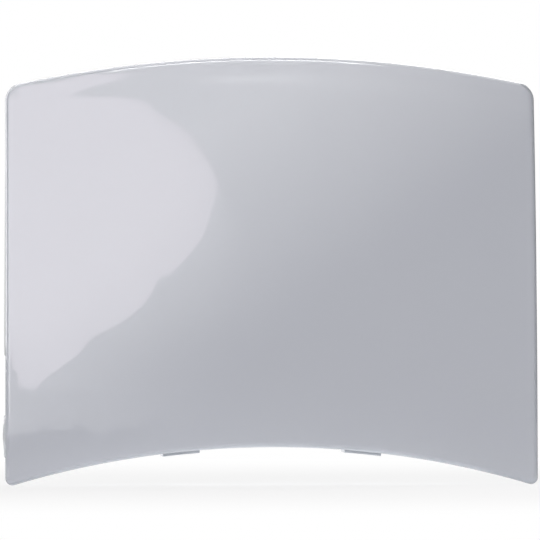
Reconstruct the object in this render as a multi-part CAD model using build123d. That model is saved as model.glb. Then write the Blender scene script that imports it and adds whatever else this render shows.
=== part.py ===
from build123d import *
import os
from math import asin, cos, degrees, hypot, radians, sin, sqrt

# Washing machine door handle, one injection moulding. Millimetres, front towards -Y, +Z towards the
# convex grip edge, origin in the middle of the pivot axis, which runs along X behind the concave edge.

# Outline of the front plate, a sector of the door ring
GRIP_RADIUS = 227.4  # convex edge
CONCAVE_RADIUS = 169.6  # edge on the glass side
MID_HEIGHT = 73.2  # between the two arcs on the centre line
TOP_WIDTH = 99.3
BOTTOM_WIDTH = 99.86
TOP_CORNER = 3.5
BOTTOM_CORNER = 1.3
PIVOT_ABOVE_EDGE = 2.0  # pivot axis above the concave edge on the centre line

# Section of the front plate
PLATE = 2.5
PIVOT_DEPTH = 12.0  # pivot axis behind the middle of the front
STRAIGHT_BAND = 14.0  # straight in section beside the concave edge, before the crown begins
CROWN_RADIUS = 210.0  # of the section, towards the grip edge
CROWN_SWEEP = 22.0  # degrees, well past the grip edge
BOW_RADIUS = 430.0  # from side to side
BOW_SWEEP = 18.0  # degrees, well past both sides
EDGE_FILLET = 1.0

# Side walls, deepest beside the pivots and run out towards the grip edge
SIDE_WALL = 2.0
SIDE_WALL_BACK = 4.5  # rear edge at the deep end, in Y
SIDE_WALL_LOW = 14.9  # deep end, in Z
SIDE_WALL_HIGH = 54.5  # where the wall has run out into the plate, in Z
SIDE_WALL_HIGH_BACK = -1.9
SIDE_WALL_CORNER = 2.5
SIDE_WALL_ROUND = 0.6  # along its rear edges

# Grip rib behind the convex edge
GRIP_RIB = 1.8
GRIP_RIB_INSET = 2.0  # from the convex edge to the rib
GRIP_RIB_BACK = 1.6  # rear edge, in Y
GRIP_RIB_HALF_SPAN = 43.0
GRIP_RIB_ROUND = 0.6

# Spine rib along the concave edge, and radial ribs that run up from it
RIB = 1.6
SPINE = 2.0
SPINE_ABOVE_EDGE = 6.0
SPINE_BACK = 0.0  # rear edge between the fingers, in Y
SPINE_LEVEL = 22.0  # half of the stretch where the rear edge is level
SPINE_END_BACK = -3.0  # rear edge beside a lug, low enough for the lug to spring
RIB_ROUND = 0.4  # along the rear edges of the radial ribs
RIB_FOOT = 1.0  # where a radial rib starts above the concave edge
RIB_TOP = 48.0  # where a radial rib has run out into the plate, in Z on the centre line
RIB_ANGLE = 5.65  # degrees off the centre line, in line with the fingers

# Pivot lugs with their stub pins
LUG = 3.0
LUG_RADIUS = 5.2
LUG_FACE = 47.4  # outer face of the lug, in X
LUG_EDGE = 0.4
STUB_RADIUS = 4.2
STUB_END = 49.93
STUB_EDGE = 0.35
TIP_RADIUS = 3.1  # slightly domed bearing tip
TIP_HEIGHT = 0.27
TIP_FLAT = 0.5

# Fingers behind the concave edge
FINGER_PROUD = 0.5  # past the concave edge
FINGER_START = 2.1  # below the front face, clear of the rounding of the edge
FINGER_THICK = 3.4
FINGER_OUTER_ANGLE = 6.93
FINGER_INNER_ANGLE = 4.45
FINGER_SLANT = 0.16  # degrees that the lower corner of the inner end is cut back
FINGER_BACK = 5.0
FINGER_END = 1.2  # rounding of the rear end

EDGE_Z = -PIVOT_ABOVE_EDGE
GRIP_Z = EDGE_Z + MID_HEIGHT
RING_Z = EDGE_Z - CONCAVE_RADIUS
GRIP_CENTRE_Z = GRIP_Z - GRIP_RADIUS
FRONT_Y = -PIVOT_DEPTH
CROWN_Z = EDGE_Z + STRAIGHT_BAND
BOW_CENTRE_Y = FRONT_Y + BOW_RADIUS
FAR_FRONT = FRONT_Y - 2.0  # in front of everything on the part, in Y
FAR_BACK = 12.0  # behind everything, in Y
FAR_LOW = EDGE_Z - 12.0  # below everything, in Z
RUN_OUT = 6.0  # how far a sloping rear edge is drawn on inside the plate
NEAR = 0.01  # within this, a point lies on a surface
ACROSS = 0.9  # an edge with this share of its run in X goes across a wall's thickness
RING_AXIS = Axis((0, 0, RING_Z), (0, 1, 0))
BOW_AXIS = Axis((0, BOW_CENTRE_Y, 0), (0, 0, 1))


def facing_back(y):
    """Plane seen from behind, with its sketch's second axis up."""
    return Plane(origin=(0, y, 0), x_dir=(-1, 0, 0), z_dir=(0, 1, 0))


def on_arc(radius, centre_z, angle):
    """Point of a ring arc, an angle in degrees off the centre line."""
    return (radius * sin(radians(angle)), centre_z + radius * cos(radians(angle)))


def arc_height(radius, centre_z, x):
    return centre_z + sqrt(radius**2 - x**2)


def arc_band(inner, outer, centre_z, start, end, end_slant=0.0):
    """Sector of a ring between two radii; the inner corner at its start may be cut back."""
    middle = (start + end) / 2
    a, b, c = (on_arc(inner, centre_z, t) for t in (start + end_slant, middle, end))
    d, e, f = (on_arc(outer, centre_z, t) for t in (end, middle, start))
    return make_face([ThreePointArc(a, b, c), Line(c, d), ThreePointArc(d, e, f), Line(f, a)])


def plate_outline():
    half_top, half_bottom = TOP_WIDTH / 2, BOTTOM_WIDTH / 2
    high = arc_height(GRIP_RADIUS, GRIP_CENTRE_Z, half_top)
    low = arc_height(CONCAVE_RADIUS, RING_Z, half_bottom)
    face = make_face(
        [
            ThreePointArc((-half_top, high), (0, GRIP_Z), (half_top, high)),
            Line((half_top, high), (half_bottom, low)),
            ThreePointArc((half_bottom, low), (0, EDGE_Z), (-half_bottom, low)),
            Line((-half_bottom, low), (-half_top, high)),
        ]
    )
    upper = face.vertices().filter_by(lambda v: v.Y > 0)
    face = fillet(upper, TOP_CORNER)
    lower = [v for v in face.vertices() if v.Y < 0]
    return fillet(lower, BOTTOM_CORNER)


def crown_point(depth, angle):
    """Point of the section on the centre line, at a depth below the front face."""
    radius = CROWN_RADIUS - depth
    y = FRONT_Y + CROWN_RADIUS - radius * cos(radians(angle))
    return (y, CROWN_Z + radius * sin(radians(angle)))


def crowned_layer(near, far):
    """Shell between two depths below the front face, which is crowned upwards and bowed sideways."""
    front, back = FRONT_Y + near, FRONT_Y + far
    half = CROWN_SWEEP / 2
    section = make_face(
        [
            Line((front, FAR_LOW), (front, CROWN_Z)),
            ThreePointArc(*(crown_point(near, t) for t in (0, half, CROWN_SWEEP))),
            Line(crown_point(near, CROWN_SWEEP), crown_point(far, CROWN_SWEEP)),
            ThreePointArc(*(crown_point(far, t) for t in (CROWN_SWEEP, half, 0))),
            Line((back, CROWN_Z), (back, FAR_LOW)),
            Line((back, FAR_LOW), (front, FAR_LOW)),
        ]
    )
    layer = revolve(Plane.YZ * section, BOW_AXIS, BOW_SWEEP)
    return layer.rotate(BOW_AXIS, -BOW_SWEEP / 2)


def depth_below_front(point):
    """How deep a point lies below the front face, along its normal."""
    section_depth = BOW_RADIUS - hypot(point.X, point.Y - BOW_CENTRE_Y)
    if point.Z <= CROWN_Z:
        return section_depth
    return CROWN_RADIUS - hypot(section_depth - CROWN_RADIUS, point.Z - CROWN_Z)


def edges_at_depth(solid, depth):
    """Edges that follow a layer of the plate, without the line where its crown begins."""
    found = []
    for edge in solid.edges():
        points = [edge.position_at(t) for t in (0.1, 0.5, 0.9)]
        on_seam = all(abs(p.Z - CROWN_Z) < NEAR for p in points)
        if not on_seam and all(abs(depth_below_front(p) - depth) < NEAR for p in points):
            found.append(edge)
    return found


def moulded_block(outline):
    """The outline drawn straight back."""
    return extrude(facing_back(FAR_FRONT) * outline, FAR_BACK - FAR_FRONT)


def front_plate(block):
    plate = block & crowned_layer(0, PLATE)
    return fillet(edges_at_depth(plate, 0), EDGE_FILLET)


def free_edges(solid):
    """Edges of a wall or rib that stand clear of the plate, apart from those across its thickness."""
    found = []
    for edge in solid.edges():
        run = (edge.position_at(1) - edge.position_at(0)).normalized()
        clear = all(depth_below_front(edge.position_at(t)) > PLATE for t in (0.3, 0.5, 0.7))
        if clear and abs(run.X) < ACROSS:
            found.append(edge)
    return found


def side_walls(outline, block, behind):
    """Walls along both sides, their rear edge sloping into the plate towards the grip edge."""
    slope = (SIDE_WALL_HIGH_BACK - SIDE_WALL_BACK) / (SIDE_WALL_HIGH - SIDE_WALL_LOW)
    run_out = SIDE_WALL_HIGH + RUN_OUT
    profile = make_face(
        Polyline(
            (FRONT_Y, SIDE_WALL_LOW),
            (SIDE_WALL_BACK, SIDE_WALL_LOW),
            (SIDE_WALL_BACK + slope * (run_out - SIDE_WALL_LOW), run_out),
            (FRONT_Y, run_out),
            close=True,
        )
    )
    deep_corner = profile.vertices().sort_by(Axis.X)[-1]
    profile = fillet(deep_corner, SIDE_WALL_CORNER)
    hollow = moulded_block(offset(outline, -SIDE_WALL))
    walls = (block - hollow) & extrude(Plane.YZ * profile, BOTTOM_WIDTH, both=True) & behind
    return fillet(free_edges(walls), SIDE_WALL_ROUND)


def grip_rib(behind):
    """Rib that the fingers hold, along the convex edge, with a rounded back."""
    span = degrees(asin(GRIP_RIB_HALF_SPAN / GRIP_RADIUS))
    outer = GRIP_RADIUS - GRIP_RIB_INSET
    band = arc_band(outer - GRIP_RIB, outer, GRIP_CENTRE_Z, -span, span)
    rib = extrude(facing_back(FRONT_Y) * band, GRIP_RIB_BACK - FRONT_Y)
    back = rib.faces().sort_by(Axis.Y)[-1]
    return fillet(back.edges().filter_by(GeomType.CIRCLE), GRIP_RIB_ROUND) & behind


def spine_rib(behind):
    """Rib along the concave edge from lug to lug, level between the fingers and low at its ends."""
    radius = CONCAVE_RADIUS + SPINE_ABOVE_EDGE
    end = LUG_FACE - LUG / 2
    reach = degrees(asin(end / radius))
    band = arc_band(radius - SPINE / 2, radius + SPINE / 2, RING_Z, -reach, reach)
    plan = make_face(
        Polyline(
            (-end, FRONT_Y),
            (end, FRONT_Y),
            (end, SPINE_END_BACK),
            (SPINE_LEVEL, SPINE_BACK),
            (-SPINE_LEVEL, SPINE_BACK),
            (-end, SPINE_END_BACK),
            close=True,
        )
    )
    tall = extrude(facing_back(FRONT_Y) * band, FAR_BACK - FRONT_Y)
    return tall & extrude(Plane.XY * plan, MID_HEIGHT, both=True) & behind


def radial_rib(behind, angle):
    """Rib from a finger up the back of the plate, running out below the grip rib."""
    foot = EDGE_Z + RIB_FOOT
    knee = EDGE_Z + SPINE_ABOVE_EDGE
    top_back = crown_point(PLATE, degrees(asin((RIB_TOP - CROWN_Z) / CROWN_RADIUS)))[0]
    run_out = RIB_TOP + RUN_OUT
    slope = (top_back - SPINE_BACK) / (RIB_TOP - knee)
    profile = make_face(
        Polyline(
            (FRONT_Y, foot),
            (SPINE_BACK, foot),
            (SPINE_BACK, knee),
            (SPINE_BACK + slope * (run_out - knee), run_out),
            (FRONT_Y, run_out),
            close=True,
        )
    )
    rib = extrude(Plane.YZ * profile, RIB / 2, both=True).rotate(RING_AXIS, angle) & behind
    return fillet(free_edges(rib), RIB_ROUND)


def pivot_lug(behind):
    """Right-hand lug with a full round end, and the stub pin that it carries."""
    root = FRONT_Y
    profile = Circle(LUG_RADIUS) + Pos(root / 2, 0) * Rectangle(-root, 2 * LUG_RADIUS)
    lug = extrude(Plane.YZ.offset(LUG_FACE - LUG) * profile, LUG)
    lug = chamfer(lug.edges().filter_by(GeomType.CIRCLE), LUG_EDGE)
    inside = LUG_FACE - LUG / 2
    shoulder = STUB_END - STUB_EDGE
    tip_end = STUB_END + TIP_HEIGHT
    ball = (TIP_RADIUS**2 + TIP_HEIGHT**2) / (2 * TIP_HEIGHT)
    half_way = TIP_RADIUS / 2
    crest = tip_end - ball + sqrt(ball**2 - half_way**2)
    flat = tip_end - ball + sqrt(ball**2 - TIP_FLAT**2)
    half_section = make_face(
        [
            Polyline(
                (flat, TIP_FLAT),
                (flat, 0),
                (inside, 0),
                (inside, STUB_RADIUS),
                (shoulder, STUB_RADIUS),
                (STUB_END, STUB_RADIUS - STUB_EDGE),
                (STUB_END, TIP_RADIUS),
            ),
            ThreePointArc((STUB_END, TIP_RADIUS), (crest, half_way), (flat, TIP_FLAT)),
        ]
    )
    return (lug & behind) + revolve(half_section, Axis.X)


def finger():
    """Right-hand finger, which starts in the back of the plate and stands just proud of its concave edge."""
    inner = CONCAVE_RADIUS - FINGER_PROUD
    band = arc_band(
        inner, inner + FINGER_THICK, RING_Z, FINGER_INNER_ANGLE, FINGER_OUTER_ANGLE, FINGER_SLANT
    )
    rod = extrude(facing_back(FRONT_Y) * band, FINGER_BACK - FRONT_Y)
    tip = rod.faces().sort_by(Axis.Y)[-1]
    rod = fillet(tip.edges().filter_by(GeomType.CIRCLE), FINGER_END)
    return rod & crowned_layer(FINGER_START, FAR_BACK - FRONT_Y)


outline = plate_outline()
block = moulded_block(outline)
behind = crowned_layer(PLATE / 2, FAR_BACK - FRONT_Y)

handle = front_plate(block)
handle += side_walls(outline, block, behind)
handle += grip_rib(behind)
handle += spine_rib(behind)
handle += [radial_rib(behind, angle) for angle in (-RIB_ANGLE, RIB_ANGLE)]
for fitting in (pivot_lug(behind), finger()):
    handle += [fitting, mirror(fitting, about=Plane.YZ)]

os.makedirs("parts", exist_ok=True)
export_step(handle, "parts/door_handle.step")
print(len(handle.solids()), handle.volume, handle.bounding_box())
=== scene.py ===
from math import cos, radians, sin

import bmesh
import bpy
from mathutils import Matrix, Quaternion, Vector


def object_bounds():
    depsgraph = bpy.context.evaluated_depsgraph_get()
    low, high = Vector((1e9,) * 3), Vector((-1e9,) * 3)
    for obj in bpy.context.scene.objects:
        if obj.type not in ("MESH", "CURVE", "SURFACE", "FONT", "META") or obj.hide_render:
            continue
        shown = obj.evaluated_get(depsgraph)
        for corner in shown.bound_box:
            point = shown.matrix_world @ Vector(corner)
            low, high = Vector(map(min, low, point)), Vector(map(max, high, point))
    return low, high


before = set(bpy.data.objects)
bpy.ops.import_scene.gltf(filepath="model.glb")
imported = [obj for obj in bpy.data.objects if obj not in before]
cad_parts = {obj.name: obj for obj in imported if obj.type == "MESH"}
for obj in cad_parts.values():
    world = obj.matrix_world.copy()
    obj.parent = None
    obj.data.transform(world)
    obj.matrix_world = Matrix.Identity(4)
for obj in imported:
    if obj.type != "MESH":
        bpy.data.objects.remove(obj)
cad_low, cad_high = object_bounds()
scene = bpy.context.scene
scene.view_settings.view_transform = "Standard"


# The door handle is one injection moulding in glossy white ABS with a faint lilac-grey cast. The tool's
# cavity side is polished, so the front mirrors the studio; its core side leaves the back and ribs satin.
# It snaps into the door ring by its two stub pins and is pulled at the grip rib behind the convex edge.
PLASTIC = (0.472, 0.500, 0.541, 1.0)
PLASTIC_CLOUD = (0.480, 0.506, 0.545, 1.0)
CLOUD_SCALE, CLOUD_DETAIL = 38.0, 3.0
FRONT_ROUGHNESS = 0.020
BACK_ROUGHNESS = 0.34
SATIN_TURN = 0.15
GRIP_CENTRE_Z = -0.1562
SINK_RADIUS = 0.2243
SINK_WIDTH = 0.0017
SINK_DEPTH = 0.000042
SINK_HALF_SPAN = 0.0485
SINK_FADE = 0.006
RING_CENTRE_Z = -0.1716
RIB_TANGENT = 0.0989
RIB_SINK_WIDTH = 0.0016
RIB_SINK_DEPTH = 0.000004
RIB_SINK_TOP = 0.048
WAVE_SCALE, WAVE_DETAIL = 130.0, 1.0
WAVE_DEPTH = 0.0000016
GRAIN_SCALE, GRAIN_DETAIL = 2600.0, 2.0
GRAIN_DEPTH = 0.00001
EJECTOR_MARKS = ((0.0360, 0.0, 0.0530), (0.0085, 0.0, 0.0530), (0.0360, 0.0, 0.0210))
EJECTOR_RADIUS = 0.0022
EJECTOR_EDGE = 0.0004
EJECTOR_DEPTH = 0.00015
WELD_REACH = 1e-6
CREASE_ANGLE = radians(48)
FACE_WEIGHT = 100


def add_node(tree, kind, inputs=(), **settings):
    """Adds a shader node, with its settings, and its inputs linked or set in order."""
    node = tree.nodes.new(kind)
    for name, value in settings.items():
        setattr(node, name, value)
    for socket, value in inputs:
        if isinstance(value, bpy.types.NodeSocket):
            tree.links.new(value, node.inputs[socket])
        else:
            node.inputs[socket].default_value = value
    return node


def calculate(tree, operation, *values):
    """A Math node on values or sockets; gives its result."""
    return add_node(tree, "ShaderNodeMath", enumerate(values), operation=operation).outputs[0]


def calculate_vector(tree, operation, *values):
    """A Vector Math node on vectors or sockets; gives its outputs."""
    return add_node(tree, "ShaderNodeVectorMath", enumerate(values), operation=operation).outputs


def ramp(tree, value, start, end, low=0.0, high=1.0, course="LINEAR"):
    """Goes from low to high while the value goes from start to end."""
    limits = [("From Min", start), ("From Max", end), ("To Min", low), ("To Max", high)]
    node = add_node(tree, "ShaderNodeMapRange", [("Value", value)] + limits, interpolation_type=course)
    return node.outputs["Result"]


def bell(tree, off, width):
    """1 in the middle, falling off softly over a width on both sides."""
    share = calculate(tree, "DIVIDE", off, width)
    square = calculate(tree, "MULTIPLY", share, share)
    return calculate(tree, "EXPONENT", calculate(tree, "MULTIPLY", square, -1.0))


def noise(tree, place, scale, detail):
    """Soft noise between 0 and 1."""
    sockets = [("Vector", place), ("Scale", scale), ("Detail", detail)]
    return add_node(tree, "ShaderNodeTexNoise", sockets).outputs["Fac"]


def moulded_plastic():
    """Glossy in front, satin and grained behind, with the faint marks that moulding leaves."""
    material = bpy.data.materials.new("glossy_white_plastic")
    material.use_nodes = True
    tree = material.node_tree
    shader = tree.nodes["Principled BSDF"]
    place = add_node(tree, "ShaderNodeTexCoord").outputs["Object"]
    parts = add_node(tree, "ShaderNodeSeparateXYZ", [(0, place)]).outputs
    x, z = parts["X"], parts["Z"]

    # faint flow clouds in the colour
    cloud = noise(tree, place, CLOUD_SCALE, CLOUD_DETAIL)
    colours = [("Factor", cloud), ("A", PLASTIC), ("B", PLASTIC_CLOUD)]
    tint = add_node(tree, "ShaderNodeMix", colours, data_type="RGBA")
    tree.links.new(tint.outputs["Result"], shader.inputs["Base Color"])

    # polished in front, satin wherever the surface turns to the back
    facing = add_node(tree, "ShaderNodeNewGeometry").outputs["Normal"]
    facing_y = add_node(tree, "ShaderNodeSeparateXYZ", [(0, facing)]).outputs["Y"]
    behind = ramp(tree, facing_y, -SATIN_TURN, SATIN_TURN)
    gloss = ramp(tree, behind, 0.0, 1.0, FRONT_ROUGHNESS, BACK_ROUGHNESS)
    tree.links.new(gloss, shader.inputs["Roughness"])

    # shallow sink mark where the plastic shrank over the grip rib
    across = calculate(tree, "ABSOLUTE", x)
    up = calculate(tree, "SUBTRACT", z, GRIP_CENTRE_Z)
    squares = calculate(tree, "ADD", calculate(tree, "MULTIPLY", x, x), calculate(tree, "MULTIPLY", up, up))
    off = calculate(tree, "SUBTRACT", calculate(tree, "SQRT", squares), SINK_RADIUS)
    ends = ramp(tree, across, SINK_HALF_SPAN, SINK_HALF_SPAN - SINK_FADE)
    depth = calculate(tree, "MULTIPLY", ends, -SINK_DEPTH)
    height = calculate(tree, "MULTIPLY", bell(tree, off, SINK_WIDTH), depth)

    # and a fainter one over each radial rib
    rib = calculate(tree, "MULTIPLY", calculate(tree, "SUBTRACT", z, RING_CENTRE_Z), RIB_TANGENT)
    off = calculate(tree, "SUBTRACT", across, rib)
    ends = ramp(tree, z, RIB_SINK_TOP, RIB_SINK_TOP - SINK_FADE)
    depth = calculate(tree, "MULTIPLY", ends, RIB_SINK_DEPTH)
    sink = calculate(tree, "MULTIPLY", bell(tree, off, RIB_SINK_WIDTH), depth)
    height = calculate(tree, "SUBTRACT", height, sink)

    # slow waves that the flow leaves in a polished face, and the fine grain of the core side
    wave = noise(tree, place, WAVE_SCALE, WAVE_DETAIL)
    height = calculate(tree, "MULTIPLY_ADD", wave, WAVE_DEPTH, height)
    grain = noise(tree, place, GRAIN_SCALE, GRAIN_DETAIL)
    rough = calculate(tree, "MULTIPLY", grain, GRAIN_DEPTH)

    # round marks of the ejector pins in the back of the plate, the same on both sides
    half = add_node(tree, "ShaderNodeCombineXYZ", [("X", across), ("Z", z)]).outputs[0]
    for centre in EJECTOR_MARKS:
        away = calculate_vector(tree, "DISTANCE", half, centre)["Value"]
        disc = ramp(tree, away, EJECTOR_RADIUS, EJECTOR_RADIUS - EJECTOR_EDGE)
        rough = calculate(tree, "MULTIPLY_ADD", disc, -EJECTOR_DEPTH, rough)
    height = calculate(tree, "MULTIPLY_ADD", rough, behind, height)
    relief = add_node(tree, "ShaderNodeBump", [("Height", height), ("Distance", 1.0), ("Strength", 1.0)])
    tree.links.new(relief.outputs["Normal"], shader.inputs["Normal"])
    return material


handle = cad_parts["door_handle"]
handle.data.materials.clear()
handle.data.materials.append(moulded_plastic())
weld = handle.modifiers.new("joined_faces", "WELD")
weld.merge_threshold = WELD_REACH
creases = handle.modifiers.new("creases", "EDGE_SPLIT")
creases.split_angle = CREASE_ANGLE
shading = handle.modifiers.new("even_shading", "WEIGHTED_NORMAL")
shading.mode = "FACE_AREA"
shading.weight = FACE_WEIGHT
shading.keep_sharp = True


# The floor is a round of white board under the handle. It keeps the soft shadow, fades into the white
# surroundings at its rim, and is lit from below where the handle stands, as a light table is.
BOARD_RADIUS = 0.45
BOARD_SEGMENTS = 96
BOARD_WHITE = (0.85, 0.85, 0.85, 1.0)
BOARD_HAZE = 0.80
HAZE_START, HAZE_FULL = 0.25 * BOARD_RADIUS, 0.9 * BOARD_RADIUS
UNDERLIGHT = 1.0
UNDERLIGHT_CENTRE = (0.0, 0.017, 0.0)
UNDERLIGHT_REACH = (0.065, 0.038, 1.0)
UNDERLIGHT_EDGE, UNDERLIGHT_FULL = 1.2, 0.6


def studio_board():
    """The flat round of board, level with the lowest point of the handle."""
    board = bmesh.new()
    bmesh.ops.create_circle(board, cap_ends=True, segments=BOARD_SEGMENTS, radius=BOARD_RADIUS)
    bmesh.ops.translate(board, verts=board.verts, vec=(0, 0, cad_low.z))
    mesh = bpy.data.meshes.new("studio_board")
    board.to_mesh(mesh)
    board.free()
    floor = bpy.data.objects.new("studio_board", mesh)
    scene.collection.objects.link(floor)
    return floor


def white_board():
    """Matt white for the camera and the light, plain white in reflections."""
    material = bpy.data.materials.new("white_board")
    material.use_nodes = True
    tree = material.node_tree
    tree.nodes.remove(tree.nodes["Principled BSDF"])
    place = add_node(tree, "ShaderNodeTexCoord").outputs["Object"]
    seen = add_node(tree, "ShaderNodeLightPath").outputs
    mirrored = calculate(tree, "MAXIMUM", seen["Is Glossy Ray"], seen["Is Transmission Ray"])

    # seen by the camera: matt board with the shadow, through a white haze that thickens towards the rim
    reach = calculate_vector(tree, "LENGTH", place)["Value"]
    haze = ramp(tree, reach, HAZE_START, HAZE_FULL, low=BOARD_HAZE, course="SMOOTHSTEP")
    haze = calculate(tree, "MULTIPLY", haze, seen["Is Camera Ray"])
    whitened = calculate(tree, "MAXIMUM", haze, mirrored)
    matt = add_node(tree, "ShaderNodeBsdfDiffuse", [("Color", BOARD_WHITE)]).outputs[0]
    white = add_node(tree, "ShaderNodeEmission", [("Strength", 1.0)]).outputs[0]
    board = add_node(tree, "ShaderNodeMixShader", [(0, whitened), (1, matt), (2, white)]).outputs[0]

    # light from below, only where the handle stands
    off = calculate_vector(tree, "SUBTRACT", place, UNDERLIGHT_CENTRE)["Vector"]
    off = calculate_vector(tree, "DIVIDE", off, UNDERLIGHT_REACH)["Vector"]
    off = calculate_vector(tree, "LENGTH", off)["Value"]
    bright = ramp(tree, off, UNDERLIGHT_EDGE, UNDERLIGHT_FULL, high=UNDERLIGHT, course="SMOOTHSTEP")
    strength = calculate(tree, "MULTIPLY", bright, seen["Is Diffuse Ray"])
    under = add_node(tree, "ShaderNodeEmission", [("Strength", strength)]).outputs[0]
    both = add_node(tree, "ShaderNodeAddShader", [(0, board), (1, under)])
    tree.links.new(both.outputs[0], tree.nodes["Material Output"].inputs["Surface"])
    return material


floor = studio_board()
floor.data.materials.append(white_board())


# The studio is white all round, as the camera sees it, and a little greyer in reflections. What lights the
# handle from there is softer: a weak fill from every side, a large lamp behind for the ribs, and two small
# ones, on the left and in front.
FILL = 0.284
MIRRORED = 0.70
REAR_LAMP_PLACE, REAR_LAMP_WIDTH, REAR_LAMP_WATTS = (0.45, 1.0, 0.70), 0.9, 10.0
SIDE_LAMP_PLACE, SIDE_LAMP_WIDTH, SIDE_LAMP_WATTS = (-0.95, 0.12, 0.25), 0.4, 0.9
FRONT_LAMP_PLACE, FRONT_LAMP_WIDTH, FRONT_LAMP_WATTS = (0.30, -1.30, 0.35), 0.5, 1.0


def studio_world():
    """White for the camera, greyer in reflections, and a weak fill as light."""
    world = bpy.data.worlds.new("white_studio")
    world.use_nodes = True
    tree = world.node_tree
    background = tree.nodes["Background"]
    background.inputs["Color"].default_value = (1, 1, 1, 1)
    seen = add_node(tree, "ShaderNodeLightPath").outputs
    direct = calculate(tree, "MAXIMUM", seen["Is Camera Ray"], seen["Is Transmission Ray"])
    level = calculate(tree, "MULTIPLY_ADD", seen["Is Glossy Ray"], MIRRORED - FILL, FILL)
    level = calculate(tree, "MAXIMUM", level, direct)
    tree.links.new(level, background.inputs["Strength"])
    scene.world = world


def soft_lamp(name, place, width, watts):
    """A square lamp that faces the middle of the handle."""
    lamp = bpy.data.lights.new(name, "AREA")
    lamp.shape = "SQUARE"
    lamp.size = width
    lamp.energy = watts
    holder = bpy.data.objects.new(name, lamp)
    scene.collection.objects.link(holder)
    holder.location = place
    aim = (cad_low + cad_high) / 2 - Vector(place)
    holder.rotation_euler = aim.to_track_quat("-Z", "Y").to_euler()
    return holder


studio_world()
soft_lamp("rear_lamp", REAR_LAMP_PLACE, REAR_LAMP_WIDTH, REAR_LAMP_WATTS)
side_lamp = soft_lamp("side_lamp", SIDE_LAMP_PLACE, SIDE_LAMP_WIDTH, SIDE_LAMP_WATTS)
side_lamp.visible_glossy = False
front_lamp = soft_lamp("front_lamp", FRONT_LAMP_PLACE, FRONT_LAMP_WIDTH, FRONT_LAMP_WATTS)
front_lamp.visible_glossy = False


# The key light is a many-sided softbox beside and above the camera, on the left. Its mirror image is the
# bright field on the handle's front. The cloth is a little dimmer along its rim, and a weak halo spills
# from it to the lower right.
SOFTBOX_Y = -0.912
SOFTBOX_OUTLINE = (
    (-0.520, 0.640), (-0.185, 0.622), (-0.122, 0.580), (-0.048, 0.490), (-0.018, 0.370), (-0.034, 0.260),
    (-0.082, 0.157), (-0.188, 0.0115), (-0.209, 0.0042), (-0.226, 0.0052), (-0.234, 0.028), (-0.520, 0.028),
)
SOFTBOX_CROWN, SOFTBOX_CROWN_ROUND = slice(2, 4), 0.030
SOFTBOX_CORNERS, SOFTBOX_CORNER_ROUND = slice(4, 7), 0.015
ROUND_SEGMENTS = 6
SOFTBOX_GLOW = 6.6
SOFTBOX_TINT = (1.03, 0.975, 1.01, 1.0)
RIM_LEVEL = 0.86
RIM_HEART = Vector((-0.270, SOFTBOX_Y, 0.580))
RIM_SCALE = 0.84
HALO_Y = -0.915
HALO_NEAR = ((-0.020, 0.350), (-0.034, 0.260), (-0.082, 0.157), (-0.200, 0.004))
HALO_FAR = ((-0.012, 0.352), (0.030, 0.225), (-0.010, 0.100), (-0.090, 0.004))
HALO_GLOW = 0.9
WHITE_LIGHT = (1.0, 1.0, 1.0, 1.0)


def emitter(name, panel):
    """A studio panel from its bmesh, out of the camera's sight, with a bare material for its glow."""
    mesh = bpy.data.meshes.new(name)
    panel.to_mesh(mesh)
    panel.free()
    lamp = bpy.data.objects.new(name, mesh)
    scene.collection.objects.link(lamp)
    lamp.visible_camera = False
    material = bpy.data.materials.new(name + "_cloth")
    material.use_nodes = True
    material.node_tree.nodes.remove(material.node_tree.nodes["Principled BSDF"])
    mesh.materials.append(material)
    return lamp, material.node_tree


def add_glow(tree, strength, tint=WHITE_LIGHT, see_through=False):
    """Emission on a panel, which hides what stands behind it or adds to that."""
    shader = add_node(tree, "ShaderNodeEmission", [("Color", tint), ("Strength", strength)])
    if see_through:
        clear = add_node(tree, "ShaderNodeBsdfTransparent")
        shader = add_node(tree, "ShaderNodeAddShader", [(0, shader.outputs[0]), (1, clear.outputs[0])])
    tree.links.new(shader.outputs[0], tree.nodes["Material Output"].inputs["Surface"])


def faded(tree, strength):
    """The strength of a glow, times the level that the panel's own points carry."""
    level = add_node(tree, "ShaderNodeAttribute", attribute_name="level").outputs["Fac"]
    return calculate(tree, "MULTIPLY", level, strength)


def gloss_only(lamp):
    """Lets a panel show in reflections only."""
    lamp.visible_diffuse = False
    lamp.visible_shadow = False
    return lamp


def softbox():
    """The lit cloth: an outline with rounded corners, and within it the heart at full level."""
    panel = bmesh.new()
    level = panel.verts.layers.float.new("level")
    corners = [panel.verts.new((px, SOFTBOX_Y, pz)) for px, pz in SOFTBOX_OUTLINE]
    panel.faces.new(corners)
    for which, size in ((SOFTBOX_CROWN, SOFTBOX_CROWN_ROUND), (SOFTBOX_CORNERS, SOFTBOX_CORNER_ROUND)):
        bmesh.ops.bevel(
            panel, geom=corners[which], offset=size, segments=ROUND_SEGMENTS, profile=0.5, affect="VERTICES"
        )
    panel.faces.ensure_lookup_table()
    cloth = panel.faces[0]
    rim = list(cloth.verts)
    panel.faces.remove(cloth)
    heart = [panel.verts.new(RIM_HEART.lerp(vert.co, RIM_SCALE)) for vert in rim]
    panel.faces.new(heart)
    for i, vert in enumerate(rim):
        vert[level] = RIM_LEVEL
        heart[i][level] = 1.0
        panel.faces.new((rim[i - 1], vert, heart[i], heart[i - 1]))
    lamp, tree = emitter("softbox", panel)
    add_glow(tree, faded(tree, SOFTBOX_GLOW), tint=SOFTBOX_TINT)
    return lamp


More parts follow.
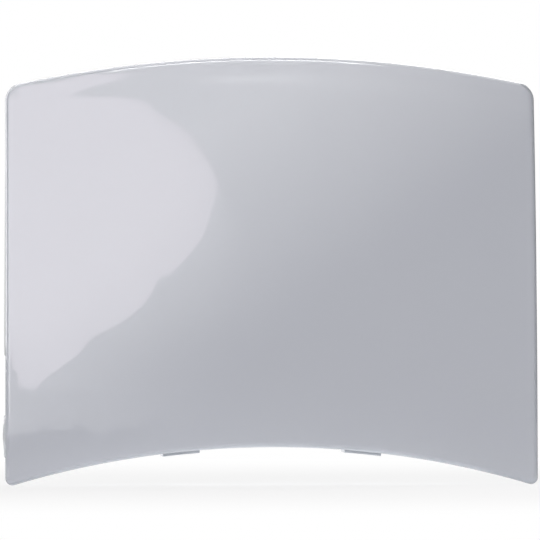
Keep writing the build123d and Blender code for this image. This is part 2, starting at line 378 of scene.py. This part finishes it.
def halo(name, near_line, far_line, strength):
    """A weak glow over what stands behind it, which fades from one line to the other."""
    panel = bmesh.new()
    level = panel.verts.layers.float.new("level")
    near = [panel.verts.new((px, HALO_Y, pz)) for px, pz in near_line]
    far = [panel.verts.new((px, HALO_Y, pz)) for px, pz in far_line]
    for vert in near:
        vert[level] = 1.0
    for i in range(1, len(near)):
        panel.faces.new((near[i - 1], near[i], far[i], far[i - 1]))
    lamp, tree = emitter(name, panel)
    add_glow(tree, faded(tree, strength), see_through=True)
    return gloss_only(lamp)


softbox()
halo("softbox_halo", HALO_NEAR, HALO_FAR, HALO_GLOW)


# Behind the softbox a wide scrim takes up its light, brighter towards the upper left. Only the gloss shows
# it: the front darkens from its upper left to its lower right, and the left edge's rounding stays pale.
SCRIM_Y = -0.95
SCRIM_LEFT, SCRIM_RIGHT, SCRIM_TOP = -1.60, 0.50, 1.15
SCRIM_RISE = (-0.800, 0.0, 0.600)
SCRIM_START, SCRIM_END = 0.020, 0.318
SCRIM_GLOW = 4.0


def flat_panel(name, corners):
    """A flat studio panel that shows in reflections only, with the nodes of its glow still to come."""
    panel = bmesh.new()
    panel.faces.new([panel.verts.new(corner) for corner in corners])
    lamp, tree = emitter(name, panel)
    return gloss_only(lamp), tree


def scrim():
    """The scrim's cloth, whose glow rises along one direction."""
    low, high = cad_low.z, SCRIM_TOP
    outline = ((SCRIM_LEFT, low), (SCRIM_RIGHT, low), (SCRIM_RIGHT, high), (SCRIM_LEFT, high))
    lamp, tree = flat_panel("scrim", [(px, SCRIM_Y, pz) for px, pz in outline])
    place = add_node(tree, "ShaderNodeTexCoord").outputs["Object"]
    rise = calculate_vector(tree, "DOT_PRODUCT", place, SCRIM_RISE)["Value"]
    add_glow(tree, ramp(tree, rise, SCRIM_START, SCRIM_END, high=SCRIM_GLOW), see_through=True)
    return lamp


scrim()


# Panels that only the gloss shows shape the edges. A strip light before the scrim draws the fine bright
# line along the grip edge, canopies above and on the left and a panel in front brighten the roundings
# there, and a dark flag stands on the right.
STRIP_GLOW = 20.0
STRIP = ((-0.15, -0.93, 0.735), (0.18, -0.93, 0.670), (0.18, -0.93, 1.10), (-0.15, -0.93, 1.10))
SPILL_NEAR = ((0.000, 0.678), (0.000, 0.678), (0.045, 0.678), (0.045, 0.678))
SPILL_FAR = ((-0.080, 0.678), (-0.030, 0.622), (0.075, 0.622), (0.125, 0.678))
SPILL_GLOW = 1.7
CANOPY_TOP_GLOW = 6.0
CANOPY_TOP = ((-0.45, -0.50, 0.90), (0.40, -0.50, 0.90), (0.40, 1.60, 0.90), (-0.45, 1.60, 0.90))
CANOPY_CORNER_GLOW = 4.2
CANOPY_CORNER = ((-0.90, -0.50, 0.90), (-0.45, -0.50, 0.90), (-0.45, 1.60, 0.90), (-0.90, 1.60, 0.90))
CANOPY_SIDE_GLOW = 4.5
CANOPY_SIDE = ((-0.90, 0.10, 0.02), (-0.90, 0.10, 0.90), (-0.90, 1.60, 0.90), (-0.90, 1.60, 0.02))
LEFT_PANEL_GLOW = 7.0
LEFT_PANEL = ((-1.60, -0.93, 0.00), (-0.53, -0.93, 0.00), (-0.53, -0.93, 0.60), (-1.60, -0.93, 0.60))
FLAG_GLOW = 0.22
FLAG = ((0.35, -0.15, 0.00), (0.35, 0.80, 0.00), (0.35, 0.80, 0.60), (0.35, -0.15, 0.60))


def gloss_panel(name, corners, strength):
    """A panel for reflections with the same glow all over."""
    lamp, tree = flat_panel(name, corners)
    add_glow(tree, strength)
    return lamp


gloss_panel("strip_light", STRIP, STRIP_GLOW)
halo("strip_spill", SPILL_NEAR, SPILL_FAR, SPILL_GLOW)
gloss_panel("canopy_top", CANOPY_TOP, CANOPY_TOP_GLOW)
gloss_panel("canopy_corner", CANOPY_CORNER, CANOPY_CORNER_GLOW)
gloss_panel("canopy_side", CANOPY_SIDE, CANOPY_SIDE_GLOW)
gloss_panel("left_panel", LEFT_PANEL, LEFT_PANEL_GLOW)
gloss_panel("flag", FLAG, FLAG_GLOW)


# The camera stands well back and a little to the left, level with the middle of the handle, so the left
# side wall and stub pin just show past the edge. It is turned a trace about its own axis, as in the
# photograph.
CAMERA_DISTANCE = 3.0
CAMERA_YAW = radians(2.4)
CAMERA_ROLL = radians(0.12)
CAMERA_AIM = Vector((-0.00043, -0.012, 0.03117))
FRAME_PIXELS, PIXEL_WIDTH = 540, 0.0001871
SENSOR_WIDTH = 36.0
FARTHEST_SEEN = 20.0

camera = bpy.data.cameras.new("camera")
camera.sensor_width = SENSOR_WIDTH
camera.lens = SENSOR_WIDTH * CAMERA_DISTANCE / (FRAME_PIXELS * PIXEL_WIDTH)
camera.clip_end = FARTHEST_SEEN
viewer = bpy.data.objects.new("camera", camera)
scene.collection.objects.link(viewer)
viewer.location = CAMERA_AIM + CAMERA_DISTANCE * Vector((-sin(CAMERA_YAW), -cos(CAMERA_YAW), 0))
straight = (CAMERA_AIM - viewer.location).to_track_quat("-Z", "Y")
viewer.rotation_euler = (straight @ Quaternion((0, 0, 1), -CAMERA_ROLL)).to_euler()
scene.camera = viewer
